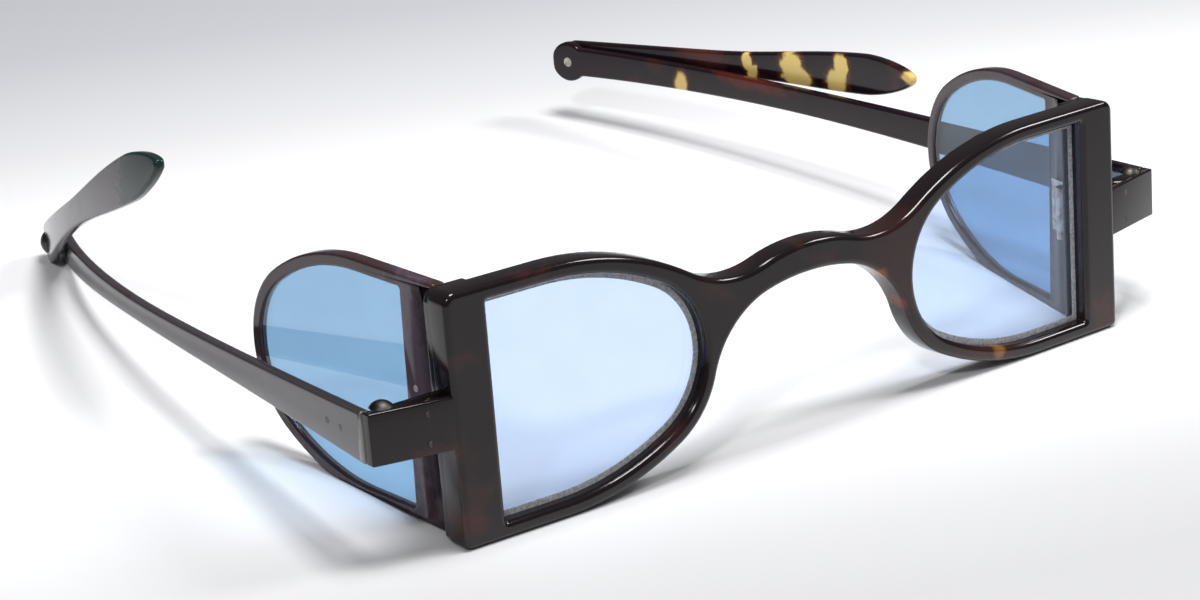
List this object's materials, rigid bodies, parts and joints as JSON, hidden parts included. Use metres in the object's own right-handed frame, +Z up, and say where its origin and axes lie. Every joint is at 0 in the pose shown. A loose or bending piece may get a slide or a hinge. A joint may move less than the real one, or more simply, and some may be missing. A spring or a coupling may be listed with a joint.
{
  "type": "folding spectacles with side lenses",
  "caption": "Tortoiseshell spectacles with D-shaped front lenses, hinged side lenses and folding arms whose tips turn forwards.",
  "frame": {"origin": "centre of the object's box, on the table under it", "axes": "+X the wearer's left, +Y back along the arms, +Z up from the table"},
  "size_m": [0.1327, 0.1247, 0.0354],
  "materials": {
    "shell": "polished dark tortoiseshell with red-brown and golden patches",
    "front_glass": "clear pale blue glass",
    "side_glass": "clear deeper blue glass",
    "steel": "tarnished steel"
  },
  "bodies": {
    "front": {"front_frame": "shell", "right_front_lens": "front_glass", "right_bar_leaf": "steel", "right_flap_pin": "steel", "right_bar_rivets": "steel", "right_lug_leaf": "steel", "right_hinge_pin": "steel", "right_lug_rivets": "steel", "left_front_lens": "front_glass", "left_bar_leaf": "steel", "left_flap_pin": "steel", "left_bar_rivets": "steel", "left_lug_leaf": "steel", "left_hinge_pin": "steel", "left_lug_rivets": "steel"},
    "right_arm": {"right_arm": "shell", "right_arm_leaf": "steel", "right_arm_rivets": "steel", "right_turn_pin": "steel", "right_turn_washer": "steel"},
    "left_arm": {"left_arm": "shell", "left_arm_leaf": "steel", "left_arm_rivets": "steel", "left_turn_pin": "steel", "left_turn_washer": "steel"},
    "right_flap": {"right_flap_frame": "shell", "right_flap_lens": "side_glass", "right_flap_leaf": "steel", "right_flap_rivets": "steel"},
    "left_flap": {"left_flap_frame": "shell", "left_flap_lens": "side_glass", "left_flap_leaf": "steel", "left_flap_rivets": "steel"},
    "right_tip": {"right_tip": "shell"},
    "left_tip": {"left_tip": "shell"}
  },
  "joints": [
    {"name": "right_arm_fold", "type": "hinge", "parent": "front", "child": "right_arm", "pos_m": [-0.0628, -0.05617, 0.01598], "axis": [0, -0.0906, -0.9959], "range_deg": [0, 61]},
    {"name": "right_flap_fold", "type": "hinge", "parent": "front", "child": "right_flap", "pos_m": [-0.05091, -0.05448, 0.01583], "axis": [0, -0.0906, -0.9959], "range_deg": [0, 94]},
    {"name": "right_tip_turn", "type": "hinge", "parent": "right_arm", "child": "right_tip", "pos_m": [-0.04227, 0.0568, 0.0032], "axis": [-0.9239, 0.3811, -0.0347], "range_deg": [0, 105]},
    {"name": "left_arm_fold", "type": "hinge", "parent": "front", "child": "left_arm", "pos_m": [0.0628, -0.05617, 0.01598], "axis": [0, 0.0906, 0.9959], "range_deg": [0, 66]},
    {"name": "left_flap_fold", "type": "hinge", "parent": "front", "child": "left_flap", "pos_m": [0.05091, -0.05448, 0.01583], "axis": [0, 0.0906, 0.9959], "range_deg": [0, 104]},
    {"name": "left_tip_turn", "type": "hinge", "parent": "left_arm", "child": "left_tip", "pos_m": [0.05346, 0.0589, 0.01013], "axis": [-0.9568, -0.2895, 0.0263], "range_deg": [0, 150]}
  ],
  "couplings": [
    {"joint": "right_flap_fold", "follows": "right_arm_fold", "ratio": 1.5409},
    {"joint": "left_flap_fold", "follows": "left_arm_fold", "ratio": 1.5757}
  ]
}
